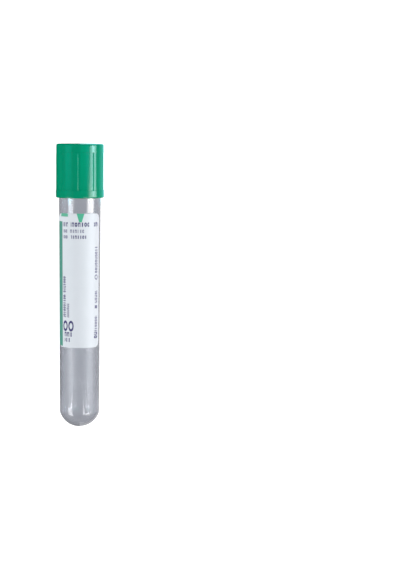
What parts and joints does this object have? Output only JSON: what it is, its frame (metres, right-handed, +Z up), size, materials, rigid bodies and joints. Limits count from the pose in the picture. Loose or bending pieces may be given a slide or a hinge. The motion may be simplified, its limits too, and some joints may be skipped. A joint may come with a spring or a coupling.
{
  "type": "blood collection tube",
  "caption": "Clear round-bottom plastic tube with a wrapped label, a rubber stopper and a ribbed green push-on closure that pulls off.",
  "frame": {"origin": "on the bench under the middle of the tube, as it lies", "axes": "+Y along the tube towards the closure, +Z up through the front of the label, +X to the right of the label as it is read with the closure at the top"},
  "size_m": [0.018, 0.1072, 0.0183],
  "materials": {
    "clear_tube": "gloss",
    "stopper_rubber": "matte",
    "shield_plastic": "gloss",
    "label_film": "satin"
  },
  "bodies": {
    "tube": {"tube": "clear_tube", "label": "label_film"},
    "closure": {"closure_shield": "shield_plastic", "stopper": "stopper_rubber"}
  },
  "joints": [
    {"name": "closure_pull", "type": "slide", "parent": "tube", "child": "closure", "axis": [0, 0.9998, 0.0199], "range_m": [0, 0.04]}
  ]
}
